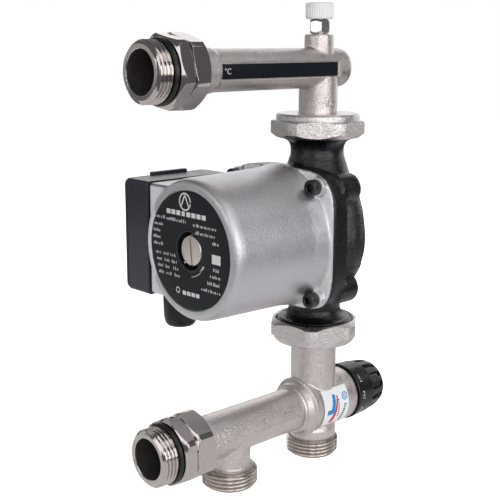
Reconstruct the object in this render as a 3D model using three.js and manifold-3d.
// Underfloor heating mixing unit: a circulator pump held between a flow bar (top) and a
// return bar with a thermostatic mixing valve (bottom). Millimetres, +Z up.
// The origin is the centre of the return nipple's end face. The pump stands on a vertical
// axis at x = PUMP_X, and its motor points back along -X, between the two bars.
import * as THREE from 'three';
import { mergeVertices } from 'three/addons/utils/BufferGeometryUtils.js';
import Module from 'manifold-3d';

// ---- driving dimensions -------------------------------------------------------------
const SPACING = 210;            // flow axis above return axis
const PUMP_X = 132;             // vertical pipe axis
const PUMP_Z = 113;             // motor axis, halfway between the pump's ports
const PUMP_LENGTH = 130;        // port face to port face
const G1_MAJOR = 16.6;          // radius of a G1 thread
const G1_ROOT = 15.2;
const G1_PITCH = 2.309;
const G15_MAJOR = 23.7;         // radius of a G1 1/2 thread
const GAP = 0.3;                // clearance between touching pieces

const NIPPLE_HEX = 36;          // across flats
const NIPPLE_CORNER = 19.9;     // turned corner radius of the hexagons
const NIPPLE_BORE = 11.8;
const HEX_START = 13;           // nipple hexagon along x
const BAR_START = 21.5;         // where a bar begins
const SPIGOT_END = 30.5;        // end of the nipple's spigot inside the bar

const FLOW_R = 11.7;
const FLOW_END = 148.5;
const RETURN_R = 13.4;
const WATERWAY = 8.6;           // bore of the bars
const RETURN_PORT_X = 60.8;
const PORT_FACE_Z = -33;

const NUT_HEX = 52;
const NUT_CORNER = 28.3;

const FLANGE_X = 97;            // front of the motor's mounting flange
const JOINT_X = 101;            // motor flange meets the pump housing
const MOTOR_FRONT = 31.1;
const CAN_R = 40;
const LABEL_R = 34.15;
const BOLT_Y = 33;
const BOLT_Z = 32.6;

const BOX_X = [36.4, 99];       // terminal box
const BOX_Y = [44, 69];
const BOX_Z = [78.5, 146];

const BARREL_R = 17.6;
const VALVE_START = 112.8;
const BARREL_END = 157;
const KNOB_END = 186;

const WIDE = 32;                // sides of the widest turned pieces
const FINE = 24;
const MEDIUM = 16;
const COARSE = 12;

const wasm = await Module();
wasm.setup();
const group = new THREE.Group();
group.name = 'underfloor_heating_manifold';

// ---- solids ---------------------------------------------------------------------------
function signedVolume(geometry) {
  const p = geometry.getAttribute('position').array;
  const t = geometry.getIndex().array;
  const corner = (i) => new THREE.Vector3(p[3 * t[i]], p[3 * t[i] + 1], p[3 * t[i] + 2]);
  let volume = 0;
  for (let i = 0; i < t.length; i += 3) {
    volume += corner(i).dot(corner(i + 1).cross(corner(i + 2))) / 6;
  }
  return volume;
}

// Turns a closed geometry into a solid that can be joined and cut.
function solid(geometry) {
  geometry.deleteAttribute('normal');
  geometry.deleteAttribute('uv');
  const merged = mergeVertices(geometry, 1e-4);
  const triVerts = Uint32Array.from(merged.getIndex().array);
  if (signedVolume(merged) < 0) {
    for (let i = 0; i < triVerts.length; i += 3) {
      [triVerts[i], triVerts[i + 1]] = [triVerts[i + 1], triVerts[i]];
    }
  }
  const vertProperties = merged.getAttribute('position').array;
  return new wasm.Manifold(new wasm.Mesh({ numProp: 3, vertProperties, triVerts }));
}

function join(...solids) {
  return solids.reduce((whole, piece) => whole.add(piece));
}

function cut(body, ...tools) {
  return tools.reduce((rest, tool) => rest.subtract(tool), body);
}

// Puts a geometry that stands along +Y onto an axis through a point.
function along(geometry, axis, x = 0, y = 0, z = 0) {
  if (axis === 'x') geometry.rotateZ(-Math.PI / 2);
  if (axis === 'z') geometry.rotateX(Math.PI / 2);
  geometry.translate(x, y, z);
  return geometry;
}

// Turned solid: outline is a list of [radius, position along the axis]. An outline that does
// not touch the axis is closed on itself, which leaves a bore.
function turned(outline, axis, place = [0, 0, 0], segments = FINE) {
  const points = outline.map(([r, h]) => new THREE.Vector2(r, h));
  const onAxis = outline[0][0] === 0 && outline[outline.length - 1][0] === 0;
  if (!onAxis) points.push(points[0].clone());
  return solid(along(new THREE.LatheGeometry(points, segments), axis, ...place));
}

function rod(radius, from, to, axis, place = [0, 0, 0], segments = FINE) {
  return turned([[0, from], [radius, from], [radius, to], [0, to]], axis, place, segments);
}

function ring(inner, outer, from, to, axis, place = [0, 0, 0], segments = FINE) {
  return turned([[inner, from], [outer, from], [outer, to], [inner, to]], axis, place, segments);
}

function block(x, y, z) {
  const geometry = new THREE.BoxGeometry(x[1] - x[0], y[1] - y[0], z[1] - z[0]);
  geometry.translate((x[0] + x[1]) / 2, (y[0] + y[1]) / 2, (z[0] + z[1]) / 2);
  return solid(geometry);
}

// Toroidal seal whose section is a circle.
function seal(radius, section, at, axis, place = [0, 0, 0]) {
  const outline = [];
  for (let i = 0; i < 6; i += 1) {
    const a = i * Math.PI / 3;
    outline.push([radius + section * Math.cos(a), at + section * Math.sin(a)]);
  }
  return turned(outline, axis, place, MEDIUM);
}

// Hexagon with turned, chamfered corners. The angle is the direction of one flat's normal,
// from +Y towards +Z on the x axis and from +X towards +Y on the z axis.
function hexagon(flats, corner, from, to, axis, angle, place = [0, 0, 0]) {
  const prism = new THREE.CylinderGeometry(flats / Math.sqrt(3), flats / Math.sqrt(3), to - from, 6);
  const turn = THREE.MathUtils.degToRad(angle + 30);
  prism.rotateY(axis === 'x' ? -turn : turn + Math.PI / 2);
  prism.translate(0, (from + to) / 2, 0);
  const chamfer = (corner - flats / 2) * 0.55;
  const bevelled = turned([
    [0, from], [flats / 2, from], [corner, from + chamfer],
    [corner, to - chamfer], [flats / 2, to], [0, to],
  ], axis, place);
  return solid(along(prism, axis, ...place)).intersect(bevelled);
}

// Outline of a male thread with evenly spaced crests, cut from its root radius.
function threadOutline(major, root, pitch, from, to) {
  const outline = [[root, from]];
  const crests = Math.floor((to - from) / pitch);
  for (let i = 0; i < crests; i += 1) {
    const width = (to - from) / crests;
    outline.push([major, from + (i + 0.5) * width], [root, from + (i + 1) * width]);
  }
  return outline;
}

// Plate with round corners: half sizes along y and z, extruded along x.
function roundedPlate(halfY, halfZ, corner, from, to) {
  const shape = new THREE.Shape();
  const quarter = Math.PI / 2;
  [[1, 1], [-1, 1], [-1, -1], [1, -1]].forEach(([sy, sz], i) => {
    shape.absarc(sy * (halfY - corner), sz * (halfZ - corner), corner, i * quarter, (i + 1) * quarter);
  });
  const geometry = new THREE.ExtrudeGeometry(shape, { depth: to - from, bevelEnabled: false, curveSegments: 4 });
  geometry.rotateX(Math.PI / 2);
  geometry.rotateZ(Math.PI / 2);
  geometry.translate(from, 0, PUMP_Z);
  return solid(geometry);
}

// ---- materials and nodes ----------------------------------------------------------------
function metal(color, roughness) {
  return { color, roughness, metalness: 1 };
}

const LOOKS = {
  castNickel: metal(0xb9b2aa, 0.5),
  shinyNickel: metal(0xc8c2ba, 0.25),
  castIron: { color: 0x15161a, roughness: 0.35, metalness: 0.1 },
  aluminium: metal(0xb4b5b9, 0.4),
  steel: metal(0x9a9a9c, 0.35),
  blackOxide: metal(0x26262a, 0.45),
  copper: metal(0xa85f3a, 0.4),
  brass: metal(0xb59a55, 0.35),
  blackPlastic: { color: 0x23252b, roughness: 0.5, metalness: 0 },
  whitePlastic: { color: 0xf1f1ef, roughness: 0.45, metalness: 0 },
  greyPlastic: { color: 0x8d9096, roughness: 0.5, metalness: 0 },
  rubber: { color: 0x141414, roughness: 0.7, metalness: 0 },
  fibre: { color: 0x6f7a68, roughness: 0.8, metalness: 0 },
  ceramic: { color: 0xe7e3da, roughness: 0.3, metalness: 0 },
  label: { color: 0x1b1b1f, roughness: 0.4, metalness: 0 },
  sticker: { color: 0xeeeff2, roughness: 0.4, metalness: 0 },
};

function addPiece(name, shape, look) {
  const mesh = shape.getMesh();
  const geometry = new THREE.BufferGeometry();
  geometry.setAttribute('position', new THREE.BufferAttribute(mesh.vertProperties, 3));
  geometry.setIndex(new THREE.BufferAttribute(mesh.triVerts, 1));
  const piece = new THREE.Mesh(geometry, new THREE.MeshStandardMaterial(LOOKS[look]));
  piece.name = name;
  group.add(piece);
}

// ---- nipples: threaded ends that screw into the distribution manifold -----------------
function nipple(height, flatAngle) {
  const place = [0, 0, height];
  const outside = turned([
    [0, 0], [14.6, 0], ...threadOutline(G1_MAJOR, G1_ROOT, G1_PITCH, 0.8, 9.8),
    [14.4, 9.8], [14.4, HEX_START + 1], [12.4, HEX_START + 1], [12.4, 24],
    [10.8, 24], [10.8, 28], [12.4, 28], [12.4, SPIGOT_END], [0, SPIGOT_END],
  ], 'x', place);
  const hex = hexagon(NIPPLE_HEX, NIPPLE_CORNER, HEX_START, BAR_START - GAP, 'x', flatAngle, place);
  const bore = turned([
    [0, -1], [NIPPLE_BORE, -1], [NIPPLE_BORE, 19], [WATERWAY, 21.5], [WATERWAY, 32], [0, 32],
  ], 'x', place, MEDIUM);
  return cut(join(outside, hex), bore);
}

function addNipple(side, height, flatAngle) {
  const place = [0, 0, height];
  addPiece(`${side}_nipple`, nipple(height, flatAngle), 'shinyNickel');
  addPiece(`${side}_face_oring`, seal(16.2, 1.45, 11.3, 'x', place), 'rubber');
  addPiece(`${side}_spigot_oring`, seal(11.9, 0.8, 26, 'x', place), 'rubber');
}

// Socket end shared by both bars: a cast hexagon that takes the nipple's spigot.
function socketHexagon(height, end, flatAngle) {
  return hexagon(NIPPLE_HEX, NIPPLE_CORNER, BAR_START, end, 'x', flatAngle, [0, 0, height]);
}

function socketBore(height, end) {
  return turned([
    [0, BAR_START - 1], [13, BAR_START - 1], [13, SPIGOT_END + 0.5], [WATERWAY, SPIGOT_END + 0.5],
    [WATERWAY, end], [0, end],
  ], 'x', [0, 0, height]);
}

// ---- flow bar -----------------------------------------------------------------------------
const TAIL_FLANGE = [66.8, 68.4];   // tail flange, measured from the middle of the pump
const TAIL_FLANGE_R = 21;
const STRIP_X = [46.4, 137.6];
const STRIP_Z = [SPACING - 4.4, SPACING + 3.6];
const STRIP_FLOOR = -9.8;           // y of the pocket floor that the strip lies in
const VENT_SEAT = 229.6;

function flowBar() {
  const axle = [0, 0, SPACING];
  const post = [PUMP_X, 0, 0];
  const pipe = turned([
    [0, 32], [12.3, 32], [12.3, 54], [FLOW_R, 56], [FLOW_R, 141],
    [10.6, 145.2], [7.6, 147.6], [0, FLOW_END],
  ], 'x', axle);
  const tail = rod(FLOW_R, PUMP_Z + TAIL_FLANGE[0], SPACING, 'z', post);
  const flange = rod(TAIL_FLANGE_R, PUMP_Z + TAIL_FLANGE[0], PUMP_Z + TAIL_FLANGE[1], 'z', post);
  const boss = turned([
    [0, SPACING], [8.7, SPACING], [8.7, VENT_SEAT - 0.8], [7.9, VENT_SEAT], [0, VENT_SEAT],
  ], 'z', post, MEDIUM);
  const stripPocket = block(
    [STRIP_X[0] - 1.2, STRIP_X[1] + 2.8], [-FLOW_R - 1, STRIP_FLOOR], [STRIP_Z[0] - 0.4, STRIP_Z[1] + 1.2],
  );
  return cut(
    join(pipe, tail, flange, boss, socketHexagon(SPACING, 33, 166)),
    socketBore(SPACING, 141),
    rod(WATERWAY, PUMP_Z + 60, SPACING, 'z', post, MEDIUM),
    rod(4.3, SPACING, VENT_SEAT + 1, 'z', post, COARSE),
    stripPocket,
  );
}

addNipple('flow', SPACING, 161);
addPiece('flow_bar', flowBar(), 'castNickel');
addPiece('thermometer_strip', block(STRIP_X, [STRIP_FLOOR - 2 * GAP, STRIP_FLOOR - GAP], STRIP_Z), 'label');

// ---- air vent -----------------------------------------------------------------------------
const VENT = [PUMP_X, 0, 0];
const ventBody = cut(
  join(
    rod(4, 222, 231, 'z', VENT, COARSE),
    hexagon(11.6, 6.5, VENT_SEAT + GAP, 238, 'z', 20, VENT),
    rod(3.8, 236, 243.2, 'z', VENT, COARSE),
  ),
  rod(1.3, 221, 245, 'z', VENT, 8),
);
addPiece('air_vent_body', ventBody, 'shinyNickel');
addPiece('air_vent_washer', ring(4.2, 5.8, 238.3, 239.1, 'z', VENT, COARSE), 'rubber');
addPiece('air_vent_cap', turned([
  [0, 243.8], [4.4, 243.8], [4.4, 239.5], [6.2, 239.5], [6.2, 238.3], [7.7, 238.3], [8.3, 239.2],
  [8.3, 246.6], [7.2, 247.8], [0, 247.8],
], 'z', VENT, MEDIUM), 'whitePlastic');

// ---- unions between the pump and the bars ----------------------------------------------
// side is +1 above the pump and -1 below it; heights are counted from the pump's middle.
function mirrored(outline, side) {
  return outline.map(([r, h]) => [r, PUMP_Z + side * h]);
}

function span(a, b, side) {
  return [PUMP_Z + side * a, PUMP_Z + side * b].sort((p, q) => p - q);
}

function unionNut(side, flatAngle, tailRadius) {
  const post = [PUMP_X, 0, 0];
  const hex = hexagon(NUT_HEX, NUT_CORNER, ...span(56.4, 66.8, side), 'z', flatAngle, post);
  const collar = turned(mirrored([[0, 60], [25.2, 60], [25.2, 69.6], [24.2, 70.6], [0, 70.6]], side), 'z', post);
  const bore = turned(mirrored([
    [0, 55], [24.1, 55], [24.1, 66.6], [TAIL_FLANGE_R + GAP, 66.6], [TAIL_FLANGE_R + GAP, 68.7],
    [tailRadius + GAP, 68.7], [tailRadius + GAP, 72], [0, 72],
  ], side), 'z', post);
  return cut(join(hex, collar), bore);
}

const RETURN_TAIL_R = 14.25;
addPiece('flow_union_nut', unionNut(1, 221.5, FLOW_R), 'castNickel');
addPiece('return_union_nut', unionNut(-1, 250, RETURN_TAIL_R), 'castNickel');
['flow', 'return'].forEach((name, i) => {
  const band = span(65.3, 66.5, i === 0 ? 1 : -1);
  addPiece(`${name}_union_gasket`, ring(14, 22.5, ...band, 'z', [PUMP_X, 0, 0], MEDIUM), 'fibre');
});

// ---- pump housing -----------------------------------------------------------------------
const MOTOR_AXLE = [0, 0, PUMP_Z];
const BOLTS = [[-1, 1], [1, 1], [-1, -1], [1, -1]].map(([y, z]) => [0, y * BOLT_Y, PUMP_Z + z * BOLT_Z]);

function pumpPort(side) {
  return turned(mirrored([
    [0, 20], [21, 22], [19.5, 34], [17.2, 41], [15.9, 46], [16.3, 50], [22.4, 53.2], [22.6, 55.6],
    [G15_MAJOR, 56.2], [G15_MAJOR, 64], [22.6, 65], [0, 65],
  ], side), 'z', [PUMP_X, 0, 0]);
}

function voluteHousing() {
  const scroll = turned([
    [0, JOINT_X + GAP], [43, JOINT_X + GAP], [43.5, 122], [41.5, 131], [36.5, 140],
    [28, 147.5], [17, 150.6], [0, 151],
  ], 'x', MOTOR_AXLE);
  const plate = roundedPlate(43, 42, 11, JOINT_X + GAP, 109);
  const ears = BOLTS.map((place) => rod(9.5, 108, 129, 'x', place, COARSE));
  const chamber = turned([
    [0, 100], [39.9, 100], [39.9, 103.9], [32, 103.9], [32, 120], [0, 120],
  ], 'x', MOTOR_AXLE);
  const eye = rod(10.8, 119, 132, 'x', MOTOR_AXLE, MEDIUM);
  const inlet = rod(12.5, PUMP_Z - 66, PUMP_Z + 6, 'z', [PUMP_X + 4, 0, 0], MEDIUM);
  const outlet = rod(12.5, PUMP_Z + 48, PUMP_Z + 66, 'z', [PUMP_X, 0, 0], MEDIUM);
  const inletMouth = rod(12.5, PUMP_Z - 66, PUMP_Z - 50, 'z', [PUMP_X, 0, 0], MEDIUM);
  const throat = new THREE.CylinderGeometry(10, 10, 42, MEDIUM);
  throat.rotateX(Math.PI / 2);
  throat.rotateY(Math.atan2(PUMP_X - 113, 34));
  throat.translate(122, 0, PUMP_Z + 36);
  const boltHoles = BOLTS.map((place) => rod(3.4, 100, 124, 'x', place, 8));
  return cut(
    join(scroll, plate, ...ears, pumpPort(1), pumpPort(-1)),
    chamber, eye, inlet, outlet, inletMouth, solid(throat), ...boltHoles,
  );
}

addPiece('volute_housing', voluteHousing(), 'castIron');
addPiece('housing_gasket', ring(36.6, 39.5, 101.6, 103.5, 'x', MOTOR_AXLE), 'rubber');

// ---- motor housing ----------------------------------------------------------------------
const HOLLOW_R = 36.6;
const WIRE_HOLE_X = [48, 61];     // passage for the windings' leads into the terminal box
const WIRE_HOLE_Z = [106, 120];

function statorHousing() {
  const can = turned([
    [0, MOTOR_FRONT], [35.2, MOTOR_FRONT], [38.3, 32.3], [39.7, 35], [CAN_R, 38], [41.6, 90],
    [42.6, 94.5], [44, FLANGE_X], [44, JOINT_X], [0, JOINT_X],
  ], 'x', MOTOR_AXLE, WIDE);
  const flange = roundedPlate(42.6, 42, 11, FLANGE_X, JOINT_X);
  const slab = block([BOX_X[0] + 0.8, FLANGE_X + 1], [24, BOX_Y[0] - GAP], [BOX_Z[0] + 1.3, BOX_Z[1] - 0.6]);
  const hollow = turned([
    [0, 36.2], [HOLLOW_R, 36.2], [HOLLOW_R, 102], [0, 102],
  ], 'x', MOTOR_AXLE, WIDE);
  const labelSeat = rod(LABEL_R + GAP, 30, MOTOR_FRONT + 0.9, 'x', MOTOR_AXLE, WIDE);
  const plugHole = rod(12, 30, 37, 'x', MOTOR_AXLE, MEDIUM);
  const wireHole = block(WIRE_HOLE_X, [32, 45], WIRE_HOLE_Z);
  const pockets = BOLTS.map((place) => rod(6.2, 85, FLANGE_X - 0.2, 'x', place, COARSE));
  const boltHoles = BOLTS.map((place) => rod(3.4, 96, 102, 'x', place, 8));
  return cut(join(can, flange, slab), hollow, labelSeat, plugHole, wireHole, ...pockets, ...boltHoles);
}

function flangeScrew(place) {
  const body = turned([
    [0, FLANGE_X - 6.2], [4.4, FLANGE_X - 6.2], [5, FLANGE_X - 5.6], [5, FLANGE_X - 0.5],
    [3, FLANGE_X - 0.5], [3, 123], [0, 123],
  ], 'x', place, COARSE);
  const key = new THREE.CylinderGeometry(2.9, 2.9, 8, 6);
  return cut(body, solid(along(key, 'x', FLANGE_X - 6.2, place[1], place[2])));
}

addPiece('stator_housing', statorHousing(), 'aluminium');
BOLTS.forEach((place, i) => addPiece(`flange_screw_${i + 1}`, flangeScrew(place), 'blackOxide'));
addPiece('nameplate', ring(12.2, LABEL_R, MOTOR_FRONT + 0.05, MOTOR_FRONT + 0.6, 'x', MOTOR_AXLE, WIDE), 'label');

const ventPlug = cut(
  turned([
    [0, 30.2], [8.3, 30.2], [8.9, 30.8], [8.9, 34.6], [6, 34.6], [6, 42], [0, 42],
  ], 'x', MOTOR_AXLE, MEDIUM),
  block([29, 32], [-0.9, 0.9], [PUMP_Z - 10, PUMP_Z + 10]),
);
addPiece('vent_plug', ventPlug, 'shinyNickel');
addPiece('vent_plug_oring', seal(7.4, 0.9, 35.8, 'x', MOTOR_AXLE), 'rubber');

// ---- motor internals ----------------------------------------------------------------------
const CAN_WALL = [16.8, 17.6];
addPiece('stator_core', ring(18, HOLLOW_R - GAP, 52, 84, 'x', MOTOR_AXLE), 'steel');
addPiece('stator_winding_front', ring(19.5, 32, 42, 51.6, 'x', MOTOR_AXLE, MEDIUM), 'copper');
addPiece('stator_winding_rear', ring(19.5, 32, 84.4, 94, 'x', MOTOR_AXLE, MEDIUM), 'copper');
addPiece('rotor_can', turned([
  [6.3, 37], [9.5, 37], [9.5, 39.5], [CAN_WALL[1], 39.5], [CAN_WALL[1], 98.6], [36, 98.6],
  [36, 99.8], [CAN_WALL[0], 99.8], [CAN_WALL[0], 42.6], [6.3, 42.6],
], 'x', MOTOR_AXLE), 'steel');
addPiece('front_bearing', ring(4.5, 16.3, 43, 49, 'x', MOTOR_AXLE, MEDIUM), 'ceramic');
addPiece('bearing_plate', turned([
  [7.6, 94], [10, 94], [10, 100.1], [35.6, 100.1], [35.6, 102.6], [7.6, 102.6],
], 'x', MOTOR_AXLE), 'steel');
addPiece('rear_bearing', ring(4.5, 7.2, 94.4, 102.4, 'x', MOTOR_AXLE, COARSE), 'ceramic');
addPiece('shaft', rod(4, 44, 116.4, 'x', MOTOR_AXLE, COARSE), 'ceramic');
addPiece('rotor', ring(4.3, 15.4, 52, 90, 'x', MOTOR_AXLE, MEDIUM), 'steel');

// Closed impeller: two shrouds with backward-curved blades between them.
function impellerBlade(angle) {
  const shape = new THREE.Shape();
  shape.absarc(0, 13, 16.5, -Math.PI / 2 + 0.45, Math.PI / 2 - 0.55, false);
  shape.absarc(0, 13, 15, Math.PI / 2 - 0.55, -Math.PI / 2 + 0.45, true);
  const geometry = new THREE.ExtrudeGeometry(shape, { depth: 8.2, bevelEnabled: false, curveSegments: 3 });
  geometry.rotateX(Math.PI / 2);
  geometry.rotateZ(Math.PI / 2);
  geometry.rotateX(angle);
  geometry.translate(106.6, 0, PUMP_Z);
  return solid(geometry);
}

function impeller() {
  const blades = Array.from({ length: 6 }, (_, i) => impellerBlade(i * Math.PI / 3));
  const waterSpace = ring(8, 28, 106, 115.2, 'x', MOTOR_AXLE);
  const bladed = join(...blades).intersect(waterSpace);
  const rearShroud = rod(28, 105.2, 107, 'x', MOTOR_AXLE);
  const hub = rod(8.6, 105.2, 112, 'x', MOTOR_AXLE, MEDIUM);
  const frontShroud = ring(10.8, 28, 114.4, 116, 'x', MOTOR_AXLE);
  const neck = ring(10.8, 12.6, 114.4, 119, 'x', MOTOR_AXLE);
  return cut(join(rearShroud, hub, bladed, frontShroud, neck), rod(4.3, 104, 117, 'x', MOTOR_AXLE, COARSE));
}

addPiece('impeller', impeller(), 'blackPlastic');

// ---- terminal box ---------------------------------------------------------------------------
const COVER_Y = 64;               // cover meets the base here
const BOX_WALL = 2.4;
const GLAND_AXLE = [68.5, 54.5, 0];
const SELECTOR = [84, 0, 94];
const COVER_SCREW = [67.7, 0, PUMP_Z];

function openBox(y, wallSide) {
  const shell = block(BOX_X, y, BOX_Z);
  const inner = block(
    [BOX_X[0] + BOX_WALL, BOX_X[1] - BOX_WALL],
    [y[0] + (wallSide < 0 ? BOX_WALL : -1), y[1] - (wallSide > 0 ? BOX_WALL : -1)],
    [BOX_Z[0] + BOX_WALL, BOX_Z[1] - BOX_WALL],
  );
  return cut(shell, inner);
}

const boxBase = cut(
  join(openBox([BOX_Y[0], COVER_Y], -1), rod(4, BOX_Y[0] + 1, COVER_Y, 'y', COVER_SCREW, COARSE)),
  rod(2.3, BOX_Y[0] + BOX_WALL + 1, COVER_Y + 1, 'y', COVER_SCREW, COARSE),
  block(WIRE_HOLE_X, [40, 50], WIRE_HOLE_Z),
  rod(7.9, BOX_Z[0] - 1, BOX_Z[0] + 5, 'z', GLAND_AXLE, MEDIUM),
);
const boxCover = cut(
  join(
    openBox([COVER_Y + GAP, BOX_Y[1]], 1),
    block([56, 83], [64, BOX_Y[1]], [BOX_Z[1] - 1, BOX_Z[1] + 1.8]),
  ),
  rod(2.3, 60, 72, 'y', COVER_SCREW, COARSE),
  rod(7.3, 60, 72, 'y', SELECTOR, MEDIUM),
);
addPiece('terminal_box_base', boxBase, 'blackPlastic');
addPiece('terminal_box_cover', boxCover, 'blackPlastic');
addPiece('cover_screw', turned([
  [0, 56.6], [2, 56.6], [2, BOX_Y[1] + GAP], [4, BOX_Y[1] + GAP], [3.6, BOX_Y[1] + 2.4], [0, BOX_Y[1] + 2.4],
], 'y', COVER_SCREW, COARSE), 'steel');

const selector = join(
  rod(6.9, 63, BOX_Y[1] + 1, 'y', SELECTOR, MEDIUM),
  block([SELECTOR[0] - 6, SELECTOR[0] + 6], [BOX_Y[1], BOX_Y[1] + 3.4], [SELECTOR[2] - 1.4, SELECTOR[2] + 1.4]),
);
addPiece('speed_selector', selector, 'blackPlastic');
addPiece('speed_switch', block([77, 93], [50, 62.4], [86, 102]), 'greyPlastic');
addPiece('terminal_block', block([42, 60], [47, 59], [88, 104]), 'greyPlastic');
addPiece('capacitor', rod(8.6, 44, 92, 'x', [0, 57, 132], MEDIUM), 'greyPlastic');

addPiece('gland_body', ring(5.2, 7.4, 62, 88, 'z', GLAND_AXLE, COARSE), 'blackPlastic');
addPiece('gland_seal', ring(4.2, 7.4, 56, 61.6, 'z', GLAND_AXLE, COARSE), 'rubber');
addPiece('gland_nut', turned([
  [8.3, BOX_Z[0] - GAP], [10.9, BOX_Z[0] - GAP], [10.5, 56], [8.8, 52], [6, 52], [6, 55.6], [8.3, 55.6],
], 'z', GLAND_AXLE, MEDIUM), 'blackPlastic');

// ---- return bar -------------------------------------------------------------------------
// Outline of a bottom port, from inside the bar down to its end face.
function portOutline(root, neck, shoulder) {
  return [
    [0, 0], [root, 0], [root, -12.5], [neck, -15.5], [neck, shoulder],
    ...threadOutline(G1_MAJOR, G1_ROOT, G1_PITCH, PORT_FACE_Z + 1, shoulder - 0.8).reverse(),
    [14.8, PORT_FACE_Z], [0, PORT_FACE_Z],
  ];
}

function returnBar() {
  const pipe = rod(RETURN_R, 32, VALVE_START - GAP, 'x');
  const spigot = rod(12.3, 100, 119.6, 'x');
  const port = turned(portOutline(12.4, 12.4, -21.5), 'z', [RETURN_PORT_X, 0, 0]);
  return cut(
    join(pipe, spigot, port, socketHexagon(0, 35.5, 176)),
    socketBore(0, 121),
    turned([
      [0, PORT_FACE_Z - 1], [12.2, PORT_FACE_Z - 1], [12.2, -19], [9.4, -16], [9.4, 0], [0, 0],
    ], 'z', [RETURN_PORT_X, 0, 0], MEDIUM),
  );
}

addNipple('return', 0, 180);
addPiece('return_bar', returnBar(), 'castNickel');

// ---- mixing valve -------------------------------------------------------------------------
function mixingValveBody() {
  const post = [PUMP_X, 0, 0];
  const barrel = turned([
    [0, VALVE_START], [14.6, VALVE_START], [16.4, 116], [19, 118.2], [19, 120], [BARREL_R, 121],
    [BARREL_R, 149], [17.1, BARREL_END], [0, BARREL_END],
  ], 'x');
  const tail = rod(RETURN_TAIL_R, 0, PUMP_Z - TAIL_FLANGE[0], 'z', post);
  const flange = rod(TAIL_FLANGE_R, ...span(...TAIL_FLANGE, -1), 'z', post);
  const port = turned(portOutline(13.4, 15, -21), 'z', post);
  return cut(
    join(barrel, tail, flange, port),
    turned([
      [0, 112], [12.6, 112], [12.6, 120], [11, 120], [11, 123], [13.4, 123], [13.4, 158], [0, 158],
    ], 'x'),
    rod(11, 0, PUMP_Z - 60, 'z', post, MEDIUM),
    rod(12.2, PORT_FACE_Z - 1, 0, 'z', post, MEDIUM),
  );
}

// Sticker wrapped round the front of the barrel.
function valveSticker() {
  const top = Math.PI - THREE.MathUtils.degToRad(36);
  const bottom = Math.PI + THREE.MathUtils.degToRad(38.5);
  const shape = new THREE.Shape();
  shape.absarc(0, 0, BARREL_R + 0.5, top, bottom, false);
  shape.absarc(0, 0, BARREL_R + 0.25, bottom, top, true);
  const geometry = new THREE.ExtrudeGeometry(shape, { depth: 22.5, bevelEnabled: false, curveSegments: 10 });
  geometry.rotateX(Math.PI / 2);
  geometry.rotateZ(Math.PI / 2);
  geometry.translate(125.8, 0, 0);
  return solid(geometry);
}

// Compression spring as one swept wire.
function returnSpring(from, to, radius, turns) {
  const points = [];
  for (let i = 0; i <= turns * 10; i += 1) {
    const a = i * Math.PI / 5;
    points.push(new THREE.Vector3(
      from + (to - from) * i / (turns * 10), radius * Math.cos(a), radius * Math.sin(a),
    ));
  }
  const wire = new THREE.Shape();
  wire.absarc(0, 0, 0.6, 0, 2 * Math.PI);
  return solid(new THREE.ExtrudeGeometry(wire, {
    steps: turns * 10, extrudePath: new THREE.CatmullRomCurve3(points), curveSegments: 3,
  }));
}

addPiece('mixing_valve_body', mixingValveBody(), 'castNickel');
addPiece('valve_sticker', valveSticker(), 'sticker');
addPiece('valve_bonnet', turned([
  [4.4, 147.6], [9, 147.6], [9, 149], [12.9, 149], [12.9, BARREL_END + GAP],
  [15, BARREL_END + GAP], [15, 160], [7.6, 160],
  [7.6, 166], [6, 166], [6, 161.4], [4.4, 161.4],
], 'x'), 'brass');
addPiece('valve_bonnet_oring', seal(10.2, 0.9, 147.9, 'x'), 'rubber');
addPiece('valve_spindle', turned([
  [0, 145], [4, 145], [4, 168], [3.2, 168], [3.2, 178.6], [0, 178.6],
], 'x', [0, 0, 0], COARSE), 'brass');
addPiece('spindle_oring', seal(4.95, 0.6, 163, 'x'), 'rubber');
addPiece('wax_element', join(
  rod(5.4, 126.5, 138, 'x', [0, 0, 0], COARSE),
  rod(2.2, 137, 144.4, 'x', [0, 0, 0], 8),
), 'copper');
addPiece('mixing_piston', cut(
  turned([
    [5.8, 131.5], [12.9, 131.5], [12.9, 139.5], [10.6, 139.5], [10.6, 134], [5.8, 134],
  ], 'x'),
  ...[0, 1, 2, 3].map((i) => rod(1.8, 130, 136, 'x', [
    0, 8.2 * Math.cos(i * Math.PI / 2), 8.2 * Math.sin(i * Math.PI / 2),
  ], 8)),
), 'brass');
addPiece('return_spring', returnSpring(124.4, 130.6, 8, 3), 'steel');

// ---- knob -----------------------------------------------------------------------------------
const GRIP_FLUTES = 14;

function knob() {
  const outside = turned([
    [0, BARREL_END + GAP + 0.5], [18.3, BARREL_END + GAP + 0.5], [17.5, 174], [17, 181],
    [15.6, 184.6], [14, KNOB_END], [0, KNOB_END],
  ], 'x');
  const flutes = Array.from({ length: GRIP_FLUTES }, (_, i) => {
    const a = 2 * Math.PI * (i + 0.5) / GRIP_FLUTES;
    return rod(1.9, 171, KNOB_END + 1, 'x', [0, 18 * Math.cos(a), 18 * Math.sin(a)], 6);
  });
  const hollow = turned([
    [0, 156], [15.8, 156], [15.8, 170], [8.4, 170], [8.4, 169], [3.5, 169], [3.5, 182], [0, 182],
  ], 'x', [0, 0, 0], MEDIUM);
  const capSeat = rod(7.2, 181.4, KNOB_END + 1, 'x', [0, 0, 0], MEDIUM);
  return cut(outside, ...flutes, hollow, capSeat);
}

addPiece('mixing_knob', knob(), 'blackPlastic');
addPiece('knob_screw', rod(3.2, 179, 181.2, 'x', [0, 0, 0], COARSE), 'steel');
addPiece('knob_cap', rod(6.9, 181.7, 185.4, 'x', [0, 0, 0], MEDIUM), 'blackPlastic');

export default group;
